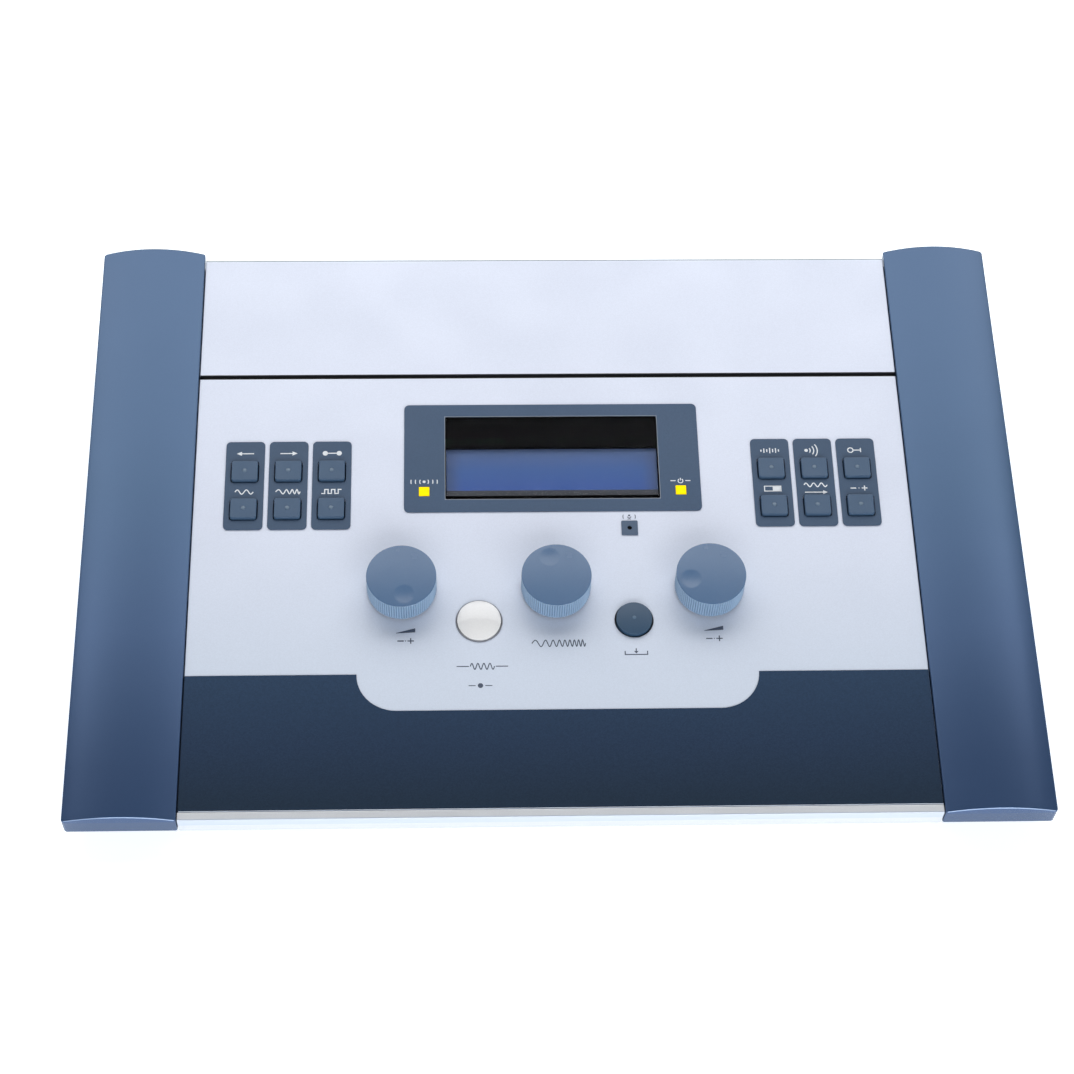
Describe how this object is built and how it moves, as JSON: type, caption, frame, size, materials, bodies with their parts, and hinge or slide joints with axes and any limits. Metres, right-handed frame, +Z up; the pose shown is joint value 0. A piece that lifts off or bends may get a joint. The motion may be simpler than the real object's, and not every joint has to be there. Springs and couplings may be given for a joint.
{
  "type": "audiometer",
  "caption": "Sloping desktop audiometer console: silver deck with display, square keys, ribbed dials and push buttons between two rounded side cheeks.",
  "frame": {"origin": "middle of the base, at table height, half way between the cheeks' front and rear ends", "axes": "+Z up, -Y towards the user, +X to the user's right; the deck rises by 9 degrees towards +Y"},
  "size_m": [0.36, 0.2484, 0.0576],
  "materials": {
    "cheek": "satin moulded blue-grey plastic",
    "tray_steel": "satin grey paint",
    "rear_steel": "satin dark blue-grey paint",
    "deck_silver": "fine-grained silver",
    "rail_white": "satin light grey",
    "seal_rubber": "black",
    "zinc_steel": "zinc plated",
    "apron_film": "fine-textured navy film",
    "foot_rubber": "black",
    "bezel_slate": "satin slate",
    "lens_clear": "clear, polished",
    "surround_black": "matt black",
    "display_blue": "unlit blue liquid crystal display",
    "board_green": "green solder mask",
    "lamp_yellow": "diffused yellow",
    "capsule_metal": "bare",
    "strip_slate": "satin slate",
    "key_slate": "satin slate",
    "switch_black": "black",
    "guide_black": "black",
    "nut_plated": "nickel plated",
    "stud_brass": "bare",
    "ribbon_grey": "grey",
    "socket_black": "black",
    "rocker_black": "black",
    "tone_pearl": "pearl white",
    "store_slate": "satin slate",
    "knob_slate": "satin blue-grey",
    "shaft_steel": "turned"
  },
  "bodies": {
    "console": {"left_cheek": "cheek", "right_cheek": "cheek", "base_tray": "tray_steel", "rear_panel": "rear_steel", "control_panel": "deck_silver", "rear_cover": "deck_silver", "front_rail": "rail_white", "gap_seal": "seal_rubber", "cross_bar": "zinc_steel", "apron_label": "apron_film", "rubber_feet": "foot_rubber", "display_bezel": "bezel_slate", "display_lens": "lens_clear", "lcd_frame": "surround_black", "lcd_glass": "display_blue", "lcd_board": "board_green", "response_led": "lamp_yellow", "power_led": "lamp_yellow", "mic_plate": "bezel_slate", "mic_capsule": "capsule_metal", "key_strips": "strip_slate", "push_switches": "switch_black", "tone_guide": "guide_black", "store_guide": "guide_black", "encoders": "switch_black", "encoder_nuts": "nut_plated", "panel_board": "board_green", "panel_studs": "stud_brass", "plate_brackets": "zinc_steel", "plate_nuts": "nut_plated", "main_board": "board_green", "board_standoffs": "stud_brass", "ribbon_cable": "ribbon_grey", "cheek_screws": "nut_plated", "board_screws": "nut_plated", "phone_sockets": "socket_black", "socket_nuts": "nut_plated", "power_inlet": "socket_black", "rocker_frame": "socket_black"},
    "key_left_1": {"key_left_1": "key_slate"},
    "key_left_2": {"key_left_2": "key_slate"},
    "key_left_3": {"key_left_3": "key_slate"},
    "key_left_4": {"key_left_4": "key_slate"},
    "key_left_5": {"key_left_5": "key_slate"},
    "key_left_6": {"key_left_6": "key_slate"},
    "key_right_1": {"key_right_1": "key_slate"},
    "key_right_2": {"key_right_2": "key_slate"},
    "key_right_3": {"key_right_3": "key_slate"},
    "key_right_4": {"key_right_4": "key_slate"},
    "key_right_5": {"key_right_5": "key_slate"},
    "key_right_6": {"key_right_6": "key_slate"},
    "tone_button": {"tone_button": "tone_pearl"},
    "store_button": {"store_button": "store_slate"},
    "volume_dial": {"volume_knob": "knob_slate", "volume_shaft": "shaft_steel"},
    "frequency_dial": {"frequency_knob": "knob_slate", "frequency_shaft": "shaft_steel"},
    "level_dial": {"level_knob": "knob_slate", "level_shaft": "shaft_steel"},
    "rocker": {"power_rocker": "rocker_black"}
  },
  "joints": [
    {"name": "key_left_1_press", "type": "slide", "parent": "console", "child": "key_left_1", "axis": [0, 0.1564, -0.9877], "range_m": [0, 0.001], "stiffness_N_per_m": 200, "springref_m": -0.003},
    {"name": "key_left_2_press", "type": "slide", "parent": "console", "child": "key_left_2", "axis": [0, 0.1564, -0.9877], "range_m": [0, 0.001], "stiffness_N_per_m": 200, "springref_m": -0.003},
    {"name": "key_left_3_press", "type": "slide", "parent": "console", "child": "key_left_3", "axis": [0, 0.1564, -0.9877], "range_m": [0, 0.001], "stiffness_N_per_m": 200, "springref_m": -0.003},
    {"name": "key_left_4_press", "type": "slide", "parent": "console", "child": "key_left_4", "axis": [0, 0.1564, -0.9877], "range_m": [0, 0.001], "stiffness_N_per_m": 200, "springref_m": -0.003},
    {"name": "key_left_5_press", "type": "slide", "parent": "console", "child": "key_left_5", "axis": [0, 0.1564, -0.9877], "range_m": [0, 0.001], "stiffness_N_per_m": 200, "springref_m": -0.003},
    {"name": "key_left_6_press", "type": "slide", "parent": "console", "child": "key_left_6", "axis": [0, 0.1564, -0.9877], "range_m": [0, 0.001], "stiffness_N_per_m": 200, "springref_m": -0.003},
    {"name": "key_right_1_press", "type": "slide", "parent": "console", "child": "key_right_1", "axis": [0, 0.1564, -0.9877], "range_m": [0, 0.001], "stiffness_N_per_m": 200, "springref_m": -0.003},
    {"name": "key_right_2_press", "type": "slide", "parent": "console", "child": "key_right_2", "axis": [0, 0.1564, -0.9877], "range_m": [0, 0.001], "stiffness_N_per_m": 200, "springref_m": -0.003},
    {"name": "key_right_3_press", "type": "slide", "parent": "console", "child": "key_right_3", "axis": [0, 0.1564, -0.9877], "range_m": [0, 0.001], "stiffness_N_per_m": 200, "springref_m": -0.003},
    {"name": "key_right_4_press", "type": "slide", "parent": "console", "child": "key_right_4", "axis": [0, 0.1564, -0.9877], "range_m": [0, 0.001], "stiffness_N_per_m": 200, "springref_m": -0.003},
    {"name": "key_right_5_press", "type": "slide", "parent": "console", "child": "key_right_5", "axis": [0, 0.1564, -0.9877], "range_m": [0, 0.001], "stiffness_N_per_m": 200, "springref_m": -0.003},
    {"name": "key_right_6_press", "type": "slide", "parent": "console", "child": "key_right_6", "axis": [0, 0.1564, -0.9877], "range_m": [0, 0.001], "stiffness_N_per_m": 200, "springref_m": -0.003},
    {"name": "tone_button_press", "type": "slide", "parent": "console", "child": "tone_button", "axis": [0, 0.1564, -0.9877], "range_m": [0, 0.0012], "stiffness_N_per_m": 250, "springref_m": -0.003},
    {"name": "store_button_press", "type": "slide", "parent": "console", "child": "store_button", "axis": [0, 0.1564, -0.9877], "range_m": [0, 0.0012], "stiffness_N_per_m": 250, "springref_m": -0.003},
    {"name": "volume_turn", "type": "hinge", "parent": "console", "child": "volume_dial", "pos_m": [-0.0583, -0.03063, 0.02981], "axis": [0, -0.1564, 0.9877], "continuous": true},
    {"name": "frequency_turn", "type": "hinge", "parent": "console", "child": "frequency_dial", "pos_m": [0, -0.03063, 0.02981], "axis": [0, -0.1564, 0.9877], "continuous": true},
    {"name": "level_turn", "type": "hinge", "parent": "console", "child": "level_dial", "pos_m": [0.0583, -0.03063, 0.02981], "axis": [0, -0.1564, 0.9877], "continuous": true},
    {"name": "power_switch", "type": "hinge", "parent": "console", "child": "rocker", "pos_m": [0.074, 0.11914, 0.028], "axis": [1, 0, 0], "range_deg": [0, 14]}
  ]
}
